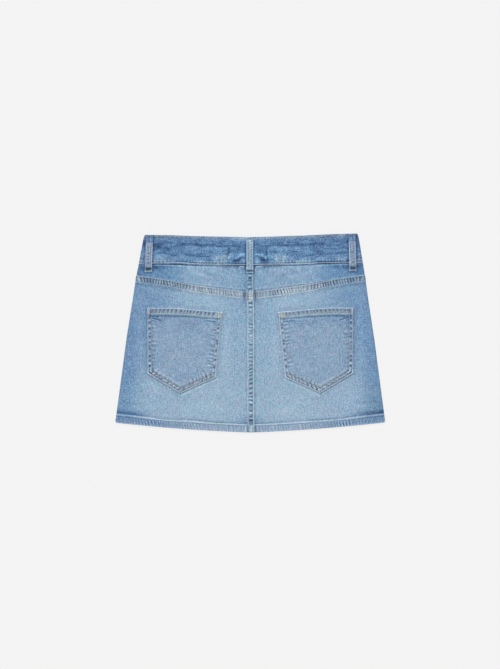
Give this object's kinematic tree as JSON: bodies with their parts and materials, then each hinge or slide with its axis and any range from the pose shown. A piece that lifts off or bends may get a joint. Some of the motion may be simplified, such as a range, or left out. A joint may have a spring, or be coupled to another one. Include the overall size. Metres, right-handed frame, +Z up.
{
  "type": "denim skirt",
  "caption": "Short A-line denim skirt laid flat, back face up, with waistband, belt loops, V-shaped back yoke, patch pockets, centre-back seam and stitched hem.",
  "frame": {"origin": "under the middle of the skirt's box, on the surface that it lies on", "axes": "+Z up, out of the back face of the garment; +Y towards the waist; +X to the right as seen from above"},
  "size_m": [0.4588, 0.3383, 0.0123],
  "materials": {
    "denim": "washed light blue denim twill",
    "denim_dark": "less faded mid blue denim twill",
    "denim_worn": "abraded denim twill on raised laps, loops and pockets",
    "thread": "pale grey topstitching thread",
    "zip_tape": "woven zip tape",
    "metal": "antique brushed metal"
  },
  "bodies": {
    "root": {"waistband_back": "denim_dark", "waistband_front_left": "denim_dark", "waistband_front_right": "denim_dark", "yoke_left": "denim", "yoke_right": "denim", "back_panel_left": "denim", "back_panel_right": "denim", "front_panel_left": "denim", "front_panel_right": "denim", "hem_back": "denim", "hem_front": "denim", "seam_yoke_left": "denim_worn", "seam_yoke_right": "denim_worn", "seam_centre_back": "denim_worn", "pocket_left": "denim_worn", "pocket_right": "denim_worn", "loop_back_centre": "denim_worn", "loop_back_left": "denim_worn", "loop_back_right": "denim_worn", "loop_front_left": "denim_worn", "loop_front_right": "denim_worn", "zip": "zip_tape", "waist_button": "metal"}
  },
  "joints": []
}
